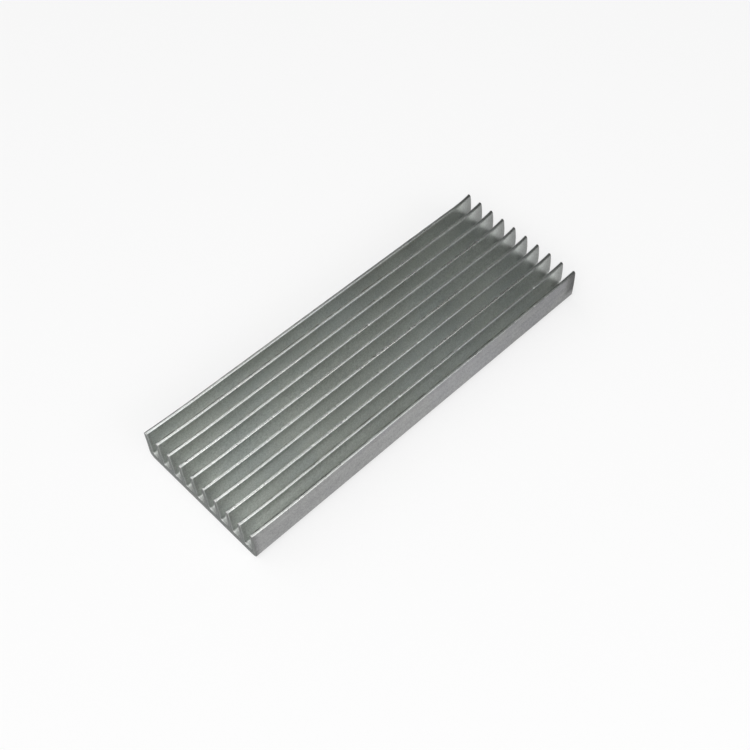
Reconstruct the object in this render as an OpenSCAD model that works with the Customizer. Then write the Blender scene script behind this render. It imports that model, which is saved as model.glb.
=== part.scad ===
// Extruded aluminium heat sink: one flat base with a row of thin straight fins, cut
// from a long bar. The cut at the +X end has curled the fin tips over to one side.
// It lies on its base with +Z up and the fins along X, and the origin is the middle
// of the underside.

/* [Bar] */
// Cut length along the fins
length = 100; // [40:1:300]
// Width of the base
base_width = 35; // [30:0.5:60]
// Height from the underside to the fin tips
height = 9; // [8:0.5:25]
// Thickness of the base under the channels
base_thickness = 2; // [1.6:0.1:4]
// Radius of the two lower edges that run along the bar
edge_radius = 1.5; // [0.3:0.1:1.5]

/* [Fins] */
// How many fins
fin_count = 10; // [3:1:12]
// Thickness of a fin at its rounded tip
tip_thickness = 0.85; // [0.5:0.05:1.1]
// Thickness of a fin where it meets the channel floor
root_thickness = 1.15; // [0.9:0.05:1.6]
// Radius between a fin and the channel floor
root_radius = 0.5; // [0.2:0.05:0.6]

/* [Curled fin ends] */
// How far a fin tip leans over where the bar was cut
curl_lean = 0.5; // [0.1:0.05:0.9]
// Length of fin over which the lean grows
curl_length = 6; // [2:0.5:12]
// How far down from the tip the lean reaches
curl_depth = 4.5; // [2:0.5:5]

/* [Hidden] */

$fn = 64;
tip_facets = 8;     // flats round a fin tip
side_facets = 4;    // rows of facets down a curled side
curl_slices = 6;    // slices along a curled end
bond = 0.3;         // how far joined shapes reach into each other

fin_pitch = (base_width - root_thickness) / (fin_count - 1);
tip_radius = tip_thickness / 2;
tip_centre = height - tip_radius;
root_half = root_thickness / 2;
fillet_top = base_thickness + root_radius;
side_slope = (root_half - tip_radius) / (tip_centre - fillet_top);
curl_floor = max(height - curl_depth, fillet_top + bond);
straight_length = length - curl_length;
lower_edge = min(edge_radius, base_thickness - 0.05);

// Middle of fin number i, counted from the +Y side
function fin_middle(i) = (base_width - root_thickness) / 2 - i * fin_pitch;

// Half the thickness of a fin at height z, above its fillets
function half_fin(z) = tip_radius + side_slope * (tip_centre - z);

// Points up one side of a fin from height z, in even rows, without the last
function fin_side(z, rows) = [
    for (i = [0 : rows - 1])
        let (h = z + (tip_centre - z) * i / rows)
        [half_fin(h), h]
];

// Points round the tip of a fin, from one side over to the other
function fin_tip() = [
    for (i = [0 : tip_facets])
        let (turn = 180 * i / tip_facets)
        [tip_radius * cos(turn), tip_centre + tip_radius * sin(turn)]
];

// The other side of a fin, from the tip down
function other_side(points) = [for (i = [len(points) - 1 : -1 : 0]) [-points[i][0], points[i][1]]];

// Closed outline of a fin around the points of one side
function fin_outline(side) = concat(side, fin_tip(), other_side(side));

// Sideways lean of a fin at height z, x past the start of the curl
function lean(x, z) =
    let (along = max(0, x) / curl_length, up = max(0, z - curl_floor) / (height - curl_floor))
    curl_lean * pow(along, 2) * pow(up, 2);

// Base with its two lower edges rounded
module base_section() {
    side = base_width / 2 - lower_edge;
    translate([-base_width / 2, lower_edge])
        square([base_width, base_thickness - lower_edge]);
    translate([-side, 0])
        square([2 * side, base_thickness]);
    for (s = [-1, 1])
        translate([s * side, lower_edge])
            circle(lower_edge);
}

// Part of a fin below the curl, let into the base. Its sides stand upright as far as the
// top of the fillets and lean in from there.
module fin_foot() {
    top = half_fin(curl_floor);
    polygon([
        [-root_half, base_thickness - bond], [root_half, base_thickness - bond], [root_half, fillet_top],
        [top, curl_floor], [-top, curl_floor], [-root_half, fillet_top]
    ]);
}

// Fillet on one side of a fin, tangent to the channel floor and to the fin
module root_fillet() {
    translate([0, base_thickness - bond])
        difference() {
            square([root_half + root_radius, root_radius + bond]);
            translate([root_half + root_radius, root_radius + bond])
                circle(root_radius);
        }
}

// Base, fin feet and the rounded channel corners
module lower_section() {
    base_section();
    for (i = [0 : fin_count - 1])
        translate([fin_middle(i), 0]) {
            fin_foot();
            if (i > 0) root_fillet();
            if (i < fin_count - 1) mirror([1, 0]) root_fillet();
        }
}

// Upper part of one fin, swept slice by slice as its end leans over. Below the curl it
// narrows to a tongue let into the foot.
module upper_fin() {
    tongue = [half_fin(curl_floor) - bond / 2, curl_floor - bond];
    outline = fin_outline(concat([tongue], fin_side(curl_floor, side_facets)));
    n = len(outline);
    middle = floor(n / 2);
    stations = concat([0], [for (k = [0 : curl_slices]) straight_length + curl_length * k / curl_slices]);
    points = [for (x = stations) for (p = outline) [x, p[0] + lean(x - straight_length, p[1]), p[1]]];
    skin = [
        for (k = [0 : len(stations) - 2]) for (i = [0 : n - 1])
            let (a = k * n + i, b = k * n + (i + 1) % n)
            each [[a, b + n, b], [a, a + n, b + n]]
    ];
    back = concat(
        [for (i = [0 : middle - 2]) [i, i + 1, n - 2 - i]],
        [for (i = [0 : middle - 1]) [i, n - 2 - i, n - 1 - i]]
    );
    last = (len(stations) - 1) * n;
    front = [for (f = back) [last + f[2], last + f[1], last + f[0]]];
    polyhedron(points, concat(skin, back, front), convexity = 4);
}

module heat_sink() {
    color("darkgray")
        translate([-length / 2, 0, 0]) {
            rotate([90, 0, 90])
                linear_extrude(height = length)
                    lower_section();
            for (i = [0 : fin_count - 1])
                translate([0, fin_middle(i), 0])
                    upper_fin();
        }
}

heat_sink();
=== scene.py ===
import math
import bmesh
import bpy
from mathutils import Matrix, Vector, noise


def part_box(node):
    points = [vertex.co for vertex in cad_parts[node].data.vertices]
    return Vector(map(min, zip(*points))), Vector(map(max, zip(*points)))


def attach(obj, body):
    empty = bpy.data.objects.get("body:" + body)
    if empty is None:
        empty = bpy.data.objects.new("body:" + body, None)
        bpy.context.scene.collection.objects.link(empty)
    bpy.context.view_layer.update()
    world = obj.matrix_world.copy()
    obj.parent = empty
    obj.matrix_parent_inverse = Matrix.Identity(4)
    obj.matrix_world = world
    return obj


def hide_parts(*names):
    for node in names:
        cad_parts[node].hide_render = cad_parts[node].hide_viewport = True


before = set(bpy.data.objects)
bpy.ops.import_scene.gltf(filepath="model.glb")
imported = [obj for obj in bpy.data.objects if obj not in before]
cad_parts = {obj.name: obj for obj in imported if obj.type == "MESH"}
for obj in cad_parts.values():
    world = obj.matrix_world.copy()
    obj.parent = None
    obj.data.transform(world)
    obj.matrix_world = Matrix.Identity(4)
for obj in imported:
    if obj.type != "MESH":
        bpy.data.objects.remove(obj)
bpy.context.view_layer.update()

mm = 0.001


def newObject(name, mesh):
    piece = bpy.data.objects.new(name, mesh)
    bpy.context.scene.collection.objects.link(piece)
    return piece


def addNode(tree, kind, x, y, **settings):
    node = tree.nodes.new(kind)
    node.location = (x, y)
    for name, value in settings.items():
        setattr(node, name, value)
    return node


def addNoise(tree, x, y, scale, detail):
    node = addNode(tree, "ShaderNodeTexNoise", x, y)
    node.inputs["Scale"].default_value = scale
    node.inputs["Detail"].default_value = detail
    return node


# Maps what lies between the two ends to what lies between the two values
def addRange(tree, x, y, ends, values=(0.0, 1.0), kind="SMOOTHSTEP"):
    node = addNode(tree, "ShaderNodeMapRange", x, y, interpolation_type=kind)
    for name, value in zip(("From Min", "From Max", "To Min", "To Max"), (*ends, *values)):
        node.inputs[name].default_value = value
    return node


# Both rise from 0 to 1, the first slowly at its start and the second slowly at its end
def easeIn(value):
    return max(0.0, value) ** 2


def easeOut(value):
    return 1 - (1 - min(1.0, max(0.0, value))) ** 2


bar = {
    "finCount": 10,
    "baseThickness": 2.0 * mm,
    "edgeRadius": 1.5 * mm,    # the two lower long edges
    "tipThickness": 0.85 * mm,
    "rootThickness": 1.15 * mm,
    "rootRadius": 0.5 * mm,    # between a fin and the channel floor
    "burrWidth": 0.025 * mm,   # broken edge round the two sawn ends
    "burrSegments": 2,
    "edgeSegments": 8,
    "tipSegments": 5,
    "rootSegments": 5,
    "sideRows": 4,             # cuts down each side of a fin
    "ringStep": 1.4 * mm,      # spacing of the cross sections along the bar
    "curlRings": 12,           # cross sections in the curled end
    "nickRings": (-1.2, -0.6, 0.0, 0.6, 1.2),    # and at a dent, in shares of its reach
    "ringGap": 0.12 * mm,      # cross sections closer than this are left out
    "weld": 0.02 * mm,         # points closer than this are merged
    "sharpAngle": 35.0,        # degrees, past which an edge isn't smoothed
}

# Fin tips leaning towards +Y at the two cut ends
curl = {
    "length": 6.0 * mm,
    "depth": 4.5 * mm,         # how far down a fin it reaches at +X
    "leans": [                 # at +X, in mm, one for each fin from the +Y side
        0.46, 0.50, 0.52, 0.54, 0.55, 0.49, 0.43, 0.36, 0.28, 0.20,
    ],
    "nearLean": 0.30 * mm,     # slight lean at -X, down to the fin roots
    "nearLength": 14.0 * mm,
}

# How the tips of the inner fins stray sideways
wander = {
    "amount": 0.03 * mm,
    "wave": 16.0 * mm,
    "finStep": 7.3,            # from one fin to the next in the noise
    "seed": 0.5,
}

# Painted shade near the saw cuts, kept with the dirt, which also makes it a little rougher
cutEndShade = {
    "farLength": 4.4 * mm,     # on the -Y sides of the curled ends
    "farDark": 0.74,
    "farOver": 0.15 * mm,      # how far it reaches over a tip
    "rimLength": 9.0 * mm,     # along the curled tips
    "rimDark": 0.75,
    "nearLength": 1.8 * mm,    # all round at -X
    "nearDark": 0.45,
    "floorLength": 4.5 * mm,   # on the channel floors at -X
    "floorDark": 0.70,
    "floorGap": 1.0 * mm,      # from the middle of a fin to the painted shade on its -Y side
    "floorShare": 0.4,         # how dark it is there
    "sideLength": 35.0 * mm,   # along the outer side of the last fin
    "sideDark": 0.20,
}

# How the dents and the dark lines listed below sit on a fin tip
tipWear = {
    "down": 0.6 * mm,          # reach below the top of the fins
    "over": 0.05 * mm,         # reach past the middle of a tip
    "nickEnd": 1.3,            # where a dent ends, in shares of its reach
    "nickFall": 2.6,           # how steeply it gets shallower
    "nickSink": 0.5,           # share of its depth that lowers the tip
    "openSide": 0.1 * mm,      # past the middle of a tip, where dents take all their dirt
    "closedShare": 0.3,        # share of the dirt before that
    "markFade": 0.15 * mm,     # over which a dark line gets dark
    "markWave": 1.5 * mm,      # over which it is uneven
    "markMean": 0.9,
    "markSpread": 0.7,
    "markSeed": 2.5,
}

# Dents in the fin tips: fin, from 0 on the +Y side, place from the -X end, reach and depth in mm,
# side that is pushed in, 1 for +Y, and how dark the dirt in it is
nicks = [
    (1, 5.2, 0.30, 0.05, 1, 0.2), (1, 45.5, 0.90, 0.05, 1, 0.9), (2, 0.8, 0.30, 0.06, 1, 0.8),
    (2, 78.0, 0.30, 0.05, -1, 0.0), (3, 2.0, 0.26, 0.10, 1, 1.0), (3, 34.0, 0.30, 0.08, 1, 0.6),
    (3, 53.8, 0.30, 0.05, -1, 0.0), (4, 0.9, 0.30, 0.08, 1, 0.8), (4, 22.0, 0.30, 0.04, -1, 0.0),
    (5, 0.7, 0.26, 0.09, 1, 1.0), (5, 21.0, 0.30, 0.07, 1, 0.8), (5, 23.6, 0.30, 0.04, -1, 0.0),
    (5, 49.2, 0.40, 0.10, 1, 0.9), (5, 51.8, 0.30, 0.06, 1, 0.7), (5, 60.0, 0.26, 0.12, 1, 1.0),
    (6, 17.0, 0.40, 0.05, 1, 0.4), (6, 33.4, 0.28, 0.10, 1, 0.8), (6, 46.2, 0.35, 0.07, 1, 0.6),
    (6, 58.2, 0.30, 0.05, -1, 0.0), (7, 23.1, 0.35, 0.07, -1, 0.0), (7, 31.8, 0.40, 0.07, -1, 0.0),
    (7, 33.0, 0.30, 0.08, 1, 0.7), (7, 60.0, 0.60, 0.04, 1, 0.5), (8, 20.3, 0.28, 0.12, 1, 1.0),
    (8, 44.9, 0.35, 0.06, -1, 0.0), (8, 63.4, 0.50, 0.04, -1, 0.0), (8, 89.0, 0.35, 0.06, -1, 0.0),
    (9, 20.2, 0.30, 0.06, 1, 0.9), (9, 24.3, 0.30, 0.10, 1, 1.0), (9, 31.6, 0.30, 0.06, 1, 0.9),
    (9, 78.4, 0.45, 0.06, -1, 0.0), (9, 85.0, 0.30, 0.06, -1, 0.0), (9, 88.8, 0.30, 0.05, -1, 0.0),
]

# Dark lines along the +Y side of a tip, partly drag marks and partly painted shade on the +Y shoulder:
# fin, start and end in mm from the -X end, how dark
dragMarksAndShade = [
    (0, 0.3, 16.0, 1.0), (0, 16.0, 94.0, 0.8), (1, 0.6, 5.0, 1.0), (1, 5.0, 68.0, 0.8),
    (1, 68.0, 94.0, 0.4), (2, 0.6, 4.0, 0.9), (2, 4.0, 60.0, 0.55), (3, 0.6, 3.0, 0.9),
    (3, 3.0, 30.0, 0.50), (4, 0.6, 2.5, 0.8), (4, 2.5, 11.0, 0.5), (4, 40.0, 48.0, 0.5),
    (5, 0.6, 2.5, 0.8), (6, 0.6, 26.0, 0.50), (7, 0.6, 2.5, 0.7), (8, 0.6, 33.0, 0.60),
    (8, 33.0, 40.0, 0.8), (8, 56.0, 62.0, 0.6), (9, 0.5, 8.0, 1.0), (9, 8.0, 66.0, 0.85),
    (9, 66.0, 99.0, 1.0),
]


def finMiddles(halfWidth):
    span = 2 * halfWidth - bar["rootThickness"]
    return [span / 2 - i * span / (bar["finCount"] - 1) for i in range(bar["finCount"])]


# Stations for the cross sections: even along the bar, closer in the curl and at each dent
def ringStations(length):
    count = round(length / bar["ringStep"])
    stations = {round(length * i / count, 7) for i in range(count + 1)}
    for i in range(bar["curlRings"]):
        stations.add(round(length - curl["length"] * (i + 1) / bar["curlRings"], 7))
    for nick in nicks:
        place, reach = nick[1:3]
        for step in bar["nickRings"]:
            stations.add(round((place + reach * step) * mm, 7))
    kept = []
    for station in sorted(stations):
        if station <= length and (not kept or station - kept[-1] > bar["ringGap"]):
            kept.append(station)
    kept[-1] = length
    return kept


# One flat face with the outline of the section, its corners rounded by a vertex bevel
def sectionFace(bm, x, low, high):
    halfWidth = -low.y
    top = high.z
    floor = bar["baseThickness"]
    halfRoot = bar["rootThickness"] / 2
    halfTip = bar["tipThickness"] / 2
    rootTop = floor + bar["rootRadius"]
    corners = [(-halfWidth, 0.0), (halfWidth, 0.0)]
    kinds = ["edge", "edge"]
    for i, middle in enumerate(finMiddles(halfWidth)):
        right = [(middle + halfRoot, floor), (middle + halfTip, top)]
        left = [(middle - halfTip, top), (middle - halfRoot, floor)]
        newKinds = ["root", "tip", "tip", "root"]
        if i == 0:
            right[0] = (middle + halfRoot, rootTop)
            newKinds[0] = "side"
        if i == bar["finCount"] - 1:
            left[1] = (middle - halfRoot, rootTop)
            newKinds[3] = "side"
        corners += right + left
        kinds += newKinds
    verts = [bm.verts.new((x, y, z)) for y, z in corners]
    bm.faces.new(verts)
    rounding = {
        "tip": (halfTip * 0.999, bar["tipSegments"]),    # the two halves stop just short of each other
        "root": (bar["rootRadius"], bar["rootSegments"]),
        "edge": (bar["edgeRadius"], bar["edgeSegments"]),
    }
    for kind, (offset, segments) in rounding.items():
        chosen = [v for v, k in zip(verts, kinds) if k == kind]
        bmesh.ops.bevel(bm, geom=chosen, affect="VERTICES", offset_type="OFFSET", offset=offset,
                        segments=segments, profile=0.5, material=-1)
    bmesh.ops.remove_doubles(bm, verts=bm.verts[:], dist=bar["weld"])
    sides = [e for e in bm.edges if abs(e.verts[0].co.z - e.verts[1].co.z) > (top - floor) / 2]
    bmesh.ops.subdivide_edges(bm, edges=sides, cuts=bar["sideRows"])
    return max(bm.faces, key=lambda f: len(f.verts))


# Runs the section along X, one cross section at each station, without walls inside the bar
def runSection(bm, face, stations):
    start = stations[0]
    inside = []
    for station in stations[1:]:
        if start > stations[0]:
            inside.append(face)
        made = bmesh.ops.extrude_face_region(bm, geom=[face])
        moved = [g for g in made["geom"] if isinstance(g, bmesh.types.BMVert)]
        bmesh.ops.translate(bm, verts=moved, vec=(station - start, 0, 0))
        face = next(g for g in made["geom"] if isinstance(g, bmesh.types.BMFace))
        start = station
    bmesh.ops.delete(bm, geom=inside, context="FACES_ONLY")


def nearestFin(middles, y):
    return min(range(len(middles)), key=lambda i: abs(middles[i] - y))


# Painted shade near the saw cuts at one point of the bar, from 0 to 1: at -X, on the channel floors at
# -X, along the curled tips, on the -Y sides of the curled ends and on the outer side of the last fin.
# `across` is the place beside the middle of the nearest fin, and `rise` is 0 at the fin roots and 1 at
# the top.
def cutEndShadeAt(fin, across, fromStart, fromEnd, rise, nearTip):
    paintedShade = cutEndShade["nearDark"] * easeIn(1 - fromStart / cutEndShade["nearLength"])
    paintedShade = max(paintedShade, cutEndShade["rimDark"] * nearTip * easeOut(1 - fromEnd / cutEndShade["rimLength"]))
    if rise < 0 and (across > bar["rootThickness"] / 2 or across < -cutEndShade["floorGap"]):
        share = 1.0 if across > 0 else cutEndShade["floorShare"]
        paintedShade = max(paintedShade, cutEndShade["floorDark"] * share * easeOut(1 - fromStart / cutEndShade["floorLength"]))
    if rise > 0 and across < cutEndShade["farOver"]:
        paintedShade = max(paintedShade, cutEndShade["farDark"] * easeOut(1 - fromEnd / cutEndShade["farLength"]))
    if fin == bar["finCount"] - 1 and across < 0:
        paintedShade = max(paintedShade, cutEndShade["sideDark"] * easeOut(1 - fromEnd / cutEndShade["sideLength"]))
    return paintedShade


# How deep the dents press in at one point of a fin tip, towards which side, and the dirt of the dents
# with the dark lines along the tips, partly drag marks and partly painted shade
def wearAndShadeAt(fin, across, fromStart):
    press, push, dirtAndShade = 0.0, 0.0, 0.0
    for number, place, reach, depth, side, darkness in nicks:
        away = (fromStart - place * mm) / (reach * mm)
        if number != fin or abs(away) > tipWear["nickEnd"] or across * side < -tipWear["over"]:
            continue
        share = math.exp(-tipWear["nickFall"] * away * away)
        press += share * depth * mm
        push -= side * share * depth * mm
        dirtShare = 1.0 if across > tipWear["openSide"] else tipWear["closedShare"]
        dirtAndShade = max(dirtAndShade, share * darkness * dirtShare)
    # dark lines along the +Y shoulder, partly drag marks and partly painted shade
    for number, start, end, darkness in dragMarksAndShade:
        if number == fin and start * mm <= fromStart <= end * mm and across > -tipWear["over"]:
            wave = noise.noise(Vector((fromStart / tipWear["markWave"], fin, tipWear["markSeed"])))
            uneven = tipWear["markMean"] + tipWear["markSpread"] * wave
            fade = min(1.0, (across + tipWear["over"]) / tipWear["markFade"])
            dirtAndShade = max(dirtAndShade, darkness * uneven * fade)
    return press, push, dirtAndShade


# Leans the fin tips over at the ends, lets them wander a little, presses in the dents and stores the
# dirt with the painted shade
def shapeFins(bm, low, high):
    middles = finMiddles(-low.y)
    floor = bar["baseThickness"] + bar["rootRadius"]
    dirtAndShadeLayer = bm.verts.layers.float.new("dirtAndShade")
    for v in bm.verts:
        fin = nearestFin(middles, v.co.y)
        across = v.co.y - middles[fin]
        fromStart = v.co.x - low.x
        fromEnd = high.x - v.co.x
        nearTip = max(0.0, 1 - (high.z - v.co.z) / tipWear["down"])
        rise = (v.co.z - floor) / (high.z - floor)
        # painted shade near the saw cuts, then the dirt and dark lines of the tips below
        dirtAndShade = cutEndShadeAt(fin, across, fromStart, fromEnd, rise, nearTip)
        if rise >= 0:
            up = (v.co.z - (high.z - curl["depth"])) / curl["depth"]
            shift = curl["leans"][fin] * mm * easeIn(1 - fromEnd / curl["length"]) * easeIn(up)
            shift += curl["nearLean"] * easeIn(1 - fromStart / curl["nearLength"]) * easeIn(rise)
            if 0 < fin < len(middles) - 1:
                spot = Vector((v.co.x / wander["wave"], fin * wander["finStep"], wander["seed"]))
                shift += wander["amount"] * easeIn(rise) * noise.noise(spot)
            press, push, tipDirtAndShade = wearAndShadeAt(fin, across, fromStart)
            v.co.z -= tipWear["nickSink"] * press * nearTip
            v.co.y += shift + push * nearTip
            dirtAndShade = max(dirtAndShade, tipDirtAndShade * nearTip)
        v[dirtAndShadeLayer] = min(1.0, max(0.0, dirtAndShade))


# Only the two sawn ends have more than a few corners
def isSawnEnd(face):
    return len(face.verts) > 8


def makeFinnedBar(low, high):
    bm = bmesh.new()
    stations = [low.x + s for s in ringStations(high.x - low.x)]
    face = sectionFace(bm, stations[0], low, high)
    runSection(bm, face, stations)
    bmesh.ops.recalc_face_normals(bm, faces=bm.faces[:])
    rims = [e for e in bm.edges if any(isSawnEnd(f) for f in e.link_faces)]
    bmesh.ops.bevel(bm, geom=rims, affect="EDGES", offset_type="OFFSET", offset=bar["burrWidth"],
                    segments=bar["burrSegments"], profile=0.5, material=-1)
    shapeFins(bm, low, high)
    for f in bm.faces:
        f.smooth = not isSawnEnd(f)
    mesh = bpy.data.meshes.new("finnedBar")
    bm.to_mesh(mesh)
    bm.free()
    mesh.set_sharp_from_angle(angle=math.radians(bar["sharpAngle"]))
    return newObject("finnedBar", mesh)


# Mottle is per metre, grain is the contrast of the fine grain, and the last value is how far the dirt
# and painted shade darken
finishes = {
    "millSkin": {
        "light": (0.92, 0.945, 0.915), "dark": (0.67, 0.69, 0.665), "patch": (0.985, 0.99, 1.0),
        "roughness": 0.31, "mottle": 90.0, "grain": 2.4, "dirtAndShadeDarkening": 0.85,
    },
    # painted shade: a darker copy of the skin for the outer sides and the underside
    "paintedShadeSide": {
        "light": (0.50, 0.502, 0.498), "dark": (0.18, 0.182, 0.182), "patch": (0.97, 0.97, 1.0),
        "roughness": 0.46, "mottle": 420.0, "grain": 0.9, "dirtAndShadeDarkening": 0.85,
    },
    # sawn ends: darker than the skin, partly a dull sawn face and partly painted shade
    "sawnEnd": {
        "light": (0.275, 0.286, 0.275), "dark": (0.165, 0.171, 0.165), "patch": (0.96, 0.98, 1.0),
        "roughness": 0.55, "mottle": 300.0, "grain": 1.5, "dirtAndShadeDarkening": 0.10,
    },
}

# What the finishes have in common
surface = {
    "metallic": 0.965,
    "lines": 900.0,               # extrusion lines across the bar, per metre
    "lineStretch": 0.012,         # how much slower they change along it
    "lineHeight": 0.003 * mm,
    "lineBump": 0.3,              # strength of the bump, which fades out on the rubbed tips
    "grain": 2600.0,              # fine grain of the colour, per metre
    "coolPatch": 70.0,            # per metre
    "coolEdge": (0.48, 0.64),     # noise where a cool patch starts and where it is full
    "lineShare": 0.3,             # shares of the lines and the mottle in the colour
    "mottleShare": 0.4,
    "lightShare": 0.15,           # added to them, where 1 is all light
    "roughSpread": (-0.06, 0.08), # what the mottle adds to the roughness
    "dirtAndShadeRoughness": 0.18,        # what full dirt and painted shade add
}

tipRub = {
    "start": 0.75 * mm,           # below the tips, where the rubbed zone begins
    "full": 0.30 * mm,
    "roughness": 0.27,
    "wave": (60.0, 270.0),        # how the rub changes along a fin and from fin to fin, per metre
    "uneven": (0.3, 0.6),         # noise where the rub is least and full
    "least": 0.35,
}


# Extrusion lines: noise drawn out along X, as a value from 0 to 1
def drawnLinesGroup():
    group = bpy.data.node_groups.new("drawnLines", "ShaderNodeTree")
    group.interface.new_socket(name="Vector", in_out="INPUT", socket_type="NodeSocketVector")
    group.interface.new_socket(name="Scale", in_out="INPUT", socket_type="NodeSocketFloat")
    group.interface.new_socket(name="Lines", in_out="OUTPUT", socket_type="NodeSocketFloat")
    start = addNode(group, "NodeGroupInput", -700, 0)
    squeeze = addNode(group, "ShaderNodeMapping", -480, 0)
    squeeze.inputs["Scale"].default_value = (surface["lineStretch"], 1.0, 1.0)
    fine = addNode(group, "ShaderNodeTexNoise", -240, 120)
    fine.inputs["Detail"].default_value = 1.5
    result = addNode(group, "NodeGroupOutput", 60, 0)
    group.links.new(start.outputs["Vector"], squeeze.inputs["Vector"])
    group.links.new(squeeze.outputs["Vector"], fine.inputs["Vector"])
    group.links.new(start.outputs["Scale"], fine.inputs["Scale"])
    group.links.new(fine.outputs["Fac"], result.inputs["Lines"])
    return group


# Rubbed fin tips: Rub is uneven along each fin and from fin to fin, Top is 1 all along the top
def tipRubGroup(high):
    group = bpy.data.node_groups.new("tipRub", "ShaderNodeTree")
    group.interface.new_socket(name="Vector", in_out="INPUT", socket_type="NodeSocketVector")
    group.interface.new_socket(name="Rub", in_out="OUTPUT", socket_type="NodeSocketFloat")
    group.interface.new_socket(name="Top", in_out="OUTPUT", socket_type="NodeSocketFloat")
    start = addNode(group, "NodeGroupInput", -900, 0)
    split = addNode(group, "ShaderNodeSeparateXYZ", -700, 150)
    height = addRange(group, -450, 150, (high.z - tipRub["start"], high.z - tipRub["full"]))
    squeeze = addNode(group, "ShaderNodeMapping", -700, -150)
    squeeze.inputs["Scale"].default_value = (*tipRub["wave"], 0.0)
    uneven = addNoise(group, -450, -150, 1.0, 3.0)
    share = addRange(group, -250, -150, tipRub["uneven"], (tipRub["least"], 1.0), "LINEAR")
    rub = addNode(group, "ShaderNodeMath", -50, 0, operation="MULTIPLY")
    result = addNode(group, "NodeGroupOutput", 150, 0)
    link = group.links.new
    link(start.outputs["Vector"], split.inputs["Vector"])
    link(split.outputs["Z"], height.inputs["Value"])
    link(start.outputs["Vector"], squeeze.inputs["Vector"])
    link(squeeze.outputs["Vector"], uneven.inputs["Vector"])
    link(uneven.outputs["Fac"], share.inputs["Value"])
    link(height.outputs["Result"], rub.inputs[0])
    link(share.outputs["Result"], rub.inputs[1])
    link(rub.outputs["Value"], result.inputs["Rub"])
    link(height.outputs["Result"], result.inputs["Top"])
    return group


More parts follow.
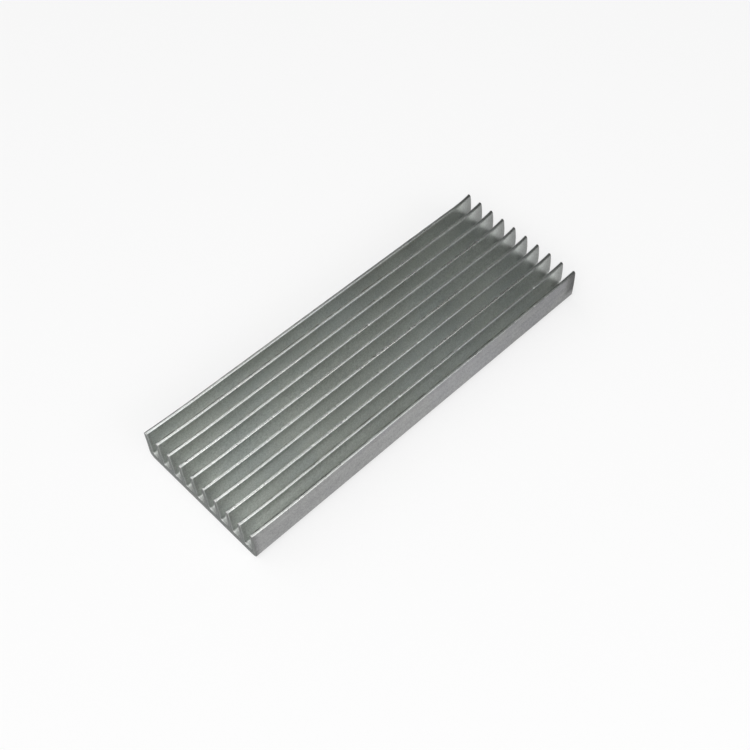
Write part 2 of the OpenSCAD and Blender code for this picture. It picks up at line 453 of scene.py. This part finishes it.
def makeAluminium(name, linesGroup, rubGroup):
    finish = finishes[name]
    material = bpy.data.materials.new(name)
    material.use_nodes = True
    tree = material.node_tree
    tree.nodes.clear()
    link = tree.links.new
    place = addNode(tree, "ShaderNodeTexCoord", -1500, 0)
    lines = addNode(tree, "ShaderNodeGroup", -1200, 300, node_tree=linesGroup)
    lines.inputs["Scale"].default_value = surface["lines"]
    rub = addNode(tree, "ShaderNodeGroup", -1200, -60, node_tree=rubGroup)
    mottle = addNoise(tree, -1200, -240, finish["mottle"], 5.0)
    grain = addNoise(tree, -1200, -500, surface["grain"], 2.0)
    patches = addNoise(tree, -1200, -760, surface["coolPatch"], 2.0)
    # dirt and painted shade, stored on the mesh
    dirtAndShade = addNode(tree, "ShaderNodeAttribute", -1200, 500, attribute_name="dirtAndShade")

    # colour: lines, mottle and fine grain, cool patches, then dirt and painted shade
    speckle = addNode(tree, "ShaderNodeMath", -980, -100, operation="MULTIPLY_ADD")
    speckle.inputs[1].default_value = finish["grain"]
    speckle.inputs[2].default_value = surface["lightShare"] - 0.5 * finish["grain"]
    spread = addNode(tree, "ShaderNodeMath", -800, 20, operation="MULTIPLY_ADD")
    spread.inputs[1].default_value = surface["mottleShare"]
    blend = addNode(tree, "ShaderNodeMath", -800, 200, operation="MULTIPLY_ADD")
    blend.inputs[1].default_value = surface["lineShare"]
    # inputs 0, 6 and 7 and output 2 of a Mix node are those of its colours
    tint = addNode(tree, "ShaderNodeMix", -620, 300, data_type="RGBA")
    tint.inputs[6].default_value = (*finish["dark"], 1)
    tint.inputs[7].default_value = (*finish["light"], 1)
    patchShare = addRange(tree, -800, -640, surface["coolEdge"])
    cool = addNode(tree, "ShaderNodeMix", -420, 300, data_type="RGBA", blend_type="MULTIPLY")
    cool.inputs[7].default_value = (*finish["patch"], 1)
    dirtAndShadeFactor = addNode(tree, "ShaderNodeMath", -620, 740, operation="MULTIPLY_ADD")
    dirtAndShadeFactor.inputs[1].default_value = -finish["dirtAndShadeDarkening"]
    dirtAndShadeFactor.inputs[2].default_value = 1.0
    colour = addNode(tree, "ShaderNodeVectorMath", -220, 400, operation="SCALE")

    # roughness: mottled, smoother on the rubbed tips, rougher in the dirt and painted shade
    roughEnds = [finish["roughness"] + step for step in surface["roughSpread"]]
    rough = addRange(tree, -620, -60, (0.0, 1.0), roughEnds, "LINEAR")
    rubbed = addNode(tree, "ShaderNodeMix", -420, -60)
    rubbed.inputs["B"].default_value = tipRub["roughness"]
    dull = addNode(tree, "ShaderNodeMath", -220, -60, operation="MULTIPLY_ADD")
    dull.inputs[1].default_value = surface["dirtAndShadeRoughness"]

    # bump of the extrusion lines
    depth = addNode(tree, "ShaderNodeMath", -620, -260, operation="MULTIPLY_ADD")
    depth.inputs[1].default_value = -surface["lineBump"]
    depth.inputs[2].default_value = surface["lineBump"]
    bump = addNode(tree, "ShaderNodeBump", -320, -400)
    bump.inputs["Distance"].default_value = surface["lineHeight"]
    shader = addNode(tree, "ShaderNodeBsdfPrincipled", 60, 0)
    shader.inputs["Metallic"].default_value = surface["metallic"]
    output = addNode(tree, "ShaderNodeOutputMaterial", 360, 0)

    for node in (lines, rub, mottle, grain, patches):
        link(place.outputs["Object"], node.inputs["Vector"])
    link(mottle.outputs["Fac"], spread.inputs[0])
    link(grain.outputs["Fac"], speckle.inputs[0])
    link(speckle.outputs["Value"], spread.inputs[2])
    link(lines.outputs["Lines"], blend.inputs[0])
    link(spread.outputs["Value"], blend.inputs[2])
    link(blend.outputs["Value"], tint.inputs[0])
    link(patches.outputs["Fac"], patchShare.inputs["Value"])
    link(patchShare.outputs["Result"], cool.inputs[0])
    link(tint.outputs[2], cool.inputs[6])
    link(dirtAndShade.outputs["Fac"], dirtAndShadeFactor.inputs[0])
    link(cool.outputs[2], colour.inputs[0])
    link(dirtAndShadeFactor.outputs["Value"], colour.inputs["Scale"])
    link(colour.outputs["Vector"], shader.inputs["Base Color"])
    link(mottle.outputs["Fac"], rough.inputs["Value"])
    link(rub.outputs["Rub"], rubbed.inputs["Factor"])
    link(rough.outputs["Result"], rubbed.inputs["A"])
    link(dirtAndShade.outputs["Fac"], dull.inputs[0])
    link(rubbed.outputs["Result"], dull.inputs[2])
    link(dull.outputs["Value"], shader.inputs["Roughness"])
    link(lines.outputs["Lines"], bump.inputs["Height"])
    link(rub.outputs["Top"], depth.inputs[0])
    link(depth.outputs["Value"], bump.inputs["Strength"])
    link(bump.outputs["Normal"], shader.inputs["Normal"])
    link(shader.outputs["BSDF"], output.inputs["Surface"])
    return material


# Which faces count as the outer sides and the underside
zones = {
    "sideDepth": 0.9 * mm,     # the outer sides reach in this far, as their tips lean
    "sideTurn": 0.7,           # least sideways share of a normal there
    "underTurn": -0.3,         # most a normal of the underside turns up
}


# Gives each face its finish: cut ends, outer sides and underside in a painted-shade copy of the skin, or
# the skin of the fins
def dressBar(piece, low, high):
    groups = (drawnLinesGroup(), tipRubGroup(high))
    for name in finishes:
        piece.data.materials.append(makeAluminium(name, *groups))
    slots = list(finishes)
    outside = -low.y - zones["sideDepth"]
    for f in piece.data.polygons:
        fromCut = min(abs(f.center.x - low.x), abs(f.center.x - high.x))
        sideways = math.copysign(f.normal.y, f.normal.y * f.center.y)
        facesOut = abs(f.center.y) > outside and sideways > zones["sideTurn"]
        if fromCut < bar["burrWidth"]:
            f.material_index = slots.index("sawnEnd")
        elif f.normal.z < zones["underTurn"] or facesOut:
            f.material_index = slots.index("paintedShadeSide")


studio = {
    "floorColour": 0.92,
    "floorSize": 16.0,
    "floorGlow": 0.60,            # share of plain white in the floor as it is seen
    "skyDark": 0.02,              # sky towards +X
    "skyLight": 1.0,              # sky towards -X
    "skyTurn": (0.03, 0.50),      # X of a direction where the sky is lightest and darkest
    "skyHorizon": 0.35,           # share of the sky's light left at the horizon
    "skyRise": (0.05, 0.50),      # Z of a direction where the horizon ends
    "hazeLight": 0.80,            # pale band low over the floor
    "hazeRise": (0.06, 0.13),     # Z of a direction where the band ends
}

# Power in watts, size and place in metres, and the point that a lamp is turned to, if any
lamps = {
    # flat over the bar
    "overheadLamp": {"power": 0.46, "size": (0.60, 0.12), "place": (-0.15, 0.02, 0.60), "aim": None},
    # long and low on the -Y side, draws the lines on the fin tips
    "sideLamp": {"power": 0.44, "size": (0.44, 0.20), "place": (0.08, -0.46, 0.27), "aim": (0.08, 0, 0)},
    # on the -X side
    "fillLamp": {"power": 1.6, "size": (0.40, 0.40), "place": (-0.50, -0.25, 0.55), "aim": (0, 0, 0)},
}

# Angles in degrees, lens and sensor in mm
viewpoint = {
    "azimuth": -49.44,
    "elevation": 56.88,
    "roll": 4.45,
    "distance": 248.3 * mm,
    "aimAside": (-1.35 * mm, -20.5 * mm, 4.5 * mm),   # from the middle of the underside
    "lens": 54.23,
    "sensor": 36.0,
    "shift": (-0.0777, 0.0572),
    "nearClip": 10 * mm,
}


def makeFloor(low):
    bm = bmesh.new()
    bmesh.ops.create_grid(bm, x_segments=1, y_segments=1, size=studio["floorSize"] / 2)
    bmesh.ops.translate(bm, verts=bm.verts[:], vec=(0, 0, low.z))
    mesh = bpy.data.meshes.new("floor")
    bm.to_mesh(mesh)
    bm.free()
    floor = newObject("floor", mesh)
    material = bpy.data.materials.new("paleFloor")
    material.use_nodes = True
    tree = material.node_tree
    tree.nodes.clear()
    link = tree.links.new
    diffuse = addNode(tree, "ShaderNodeBsdfDiffuse", -300, 100)
    diffuse.inputs["Color"].default_value = (*[studio["floorColour"]] * 3, 1)
    white = addNode(tree, "ShaderNodeEmission", -300, -100)
    path = addNode(tree, "ShaderNodeLightPath", -900, 300)
    seen = addNode(tree, "ShaderNodeMath", -700, 300, operation="MAXIMUM")
    through = addNode(tree, "ShaderNodeMath", -500, 300, operation="MAXIMUM")
    share = addNode(tree, "ShaderNodeMath", -300, 300, operation="MULTIPLY")
    share.inputs[1].default_value = studio["floorGlow"]
    mix = addNode(tree, "ShaderNodeMixShader", -60, 100)
    output = addNode(tree, "ShaderNodeOutputMaterial", 160, 100)
    link(path.outputs["Is Camera Ray"], seen.inputs[0])
    link(path.outputs["Is Glossy Ray"], seen.inputs[1])
    link(seen.outputs["Value"], through.inputs[0])
    link(path.outputs["Is Transmission Ray"], through.inputs[1])
    link(through.outputs["Value"], share.inputs[0])
    link(share.outputs["Value"], mix.inputs["Fac"])
    link(diffuse.outputs["BSDF"], mix.inputs[1])
    link(white.outputs["Emission"], mix.inputs[2])
    link(mix.outputs["Shader"], output.inputs["Surface"])
    mesh.materials.append(material)


# Sky that is lighter on the -X side and weaker near the horizon, over a pale band of haze
def makeSky():
    world = bpy.data.worlds.new("studio")
    bpy.context.scene.world = world
    world.use_nodes = True
    tree = world.node_tree
    tree.nodes.clear()
    link = tree.links.new
    place = addNode(tree, "ShaderNodeTexCoord", -1000, 0)
    split = addNode(tree, "ShaderNodeSeparateXYZ", -800, 0)
    turn = addRange(tree, -600, 150, studio["skyTurn"], (studio["skyLight"], studio["skyDark"]))
    rise = addRange(tree, -600, -150, studio["skyRise"], (studio["skyHorizon"], 1.0))
    strength = addNode(tree, "ShaderNodeMath", -400, 0, operation="MULTIPLY")
    haze = addRange(tree, -400, -150, studio["hazeRise"], (studio["hazeLight"], 0.0))
    lighter = addNode(tree, "ShaderNodeMath", -250, 0, operation="MAXIMUM")
    sky = addNode(tree, "ShaderNodeBackground", -100, 0)
    sky.inputs["Color"].default_value = (1, 1, 1, 1)
    output = addNode(tree, "ShaderNodeOutputWorld", 100, 0)
    link(place.outputs["Generated"], split.inputs["Vector"])
    link(split.outputs["X"], turn.inputs["Value"])
    link(split.outputs["Z"], rise.inputs["Value"])
    link(turn.outputs["Result"], strength.inputs[0])
    link(rise.outputs["Result"], strength.inputs[1])
    link(split.outputs["Z"], haze.inputs["Value"])
    link(strength.outputs["Value"], lighter.inputs[0])
    link(haze.outputs["Result"], lighter.inputs[1])
    link(lighter.outputs["Value"], sky.inputs["Strength"])
    link(sky.outputs["Background"], output.inputs["Surface"])


# Soft lamp, hung flat or turned towards a point
def makeLamp(name, facts):
    lamp = bpy.data.lights.new(name, "AREA")
    lamp.shape = "RECTANGLE"
    lamp.size, lamp.size_y = facts["size"]
    lamp.energy = facts["power"]
    holder = newObject(name, lamp)
    holder.location = facts["place"]
    if facts["aim"]:
        away = Vector(facts["place"]) - Vector(facts["aim"])
        holder.rotation_euler = away.to_track_quat("Z", "Y").to_euler()


def makeCamera(low, high):
    azimuth = math.radians(viewpoint["azimuth"])
    elevation = math.radians(viewpoint["elevation"])
    flat = math.cos(elevation)
    back = Vector((math.sin(azimuth) * flat, -math.cos(azimuth) * flat, math.sin(elevation)))
    right = Vector((0, 0, 1)).cross(back).normalized()
    up = back.cross(right)
    roll = math.radians(viewpoint["roll"])
    across = right * math.cos(roll) + up * math.sin(roll)
    above = back.cross(across)
    aim = Vector(((low.x + high.x) / 2, 0, low.z)) + Vector(viewpoint["aimAside"])
    place = aim + back * viewpoint["distance"]
    lens = bpy.data.cameras.new("camera")
    lens.lens = viewpoint["lens"]
    lens.sensor_width = viewpoint["sensor"]
    lens.shift_x, lens.shift_y = viewpoint["shift"]
    lens.clip_start = viewpoint["nearClip"]
    camera = newObject("camera", lens)
    turn = Matrix((across, above, back)).transposed()
    camera.matrix_world = Matrix.Translation(place) @ turn.to_4x4()
    bpy.context.scene.camera = camera


low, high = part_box("heat_sink")
print("heat sink node:", [round(v / mm, 2) for v in (*low, *high)])
finnedBar = makeFinnedBar(low, high)
dressBar(finnedBar, low, high)
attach(finnedBar, "root")
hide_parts("heat_sink")
print("finned bar:", len(finnedBar.data.vertices), "vertices,", len(finnedBar.data.polygons), "faces")

makeFloor(low)
makeSky()
for name, facts in lamps.items():
    makeLamp(name, facts)
makeCamera(low, high)
bpy.context.scene.view_settings.view_transform = "Standard"
print("studio and camera in place")
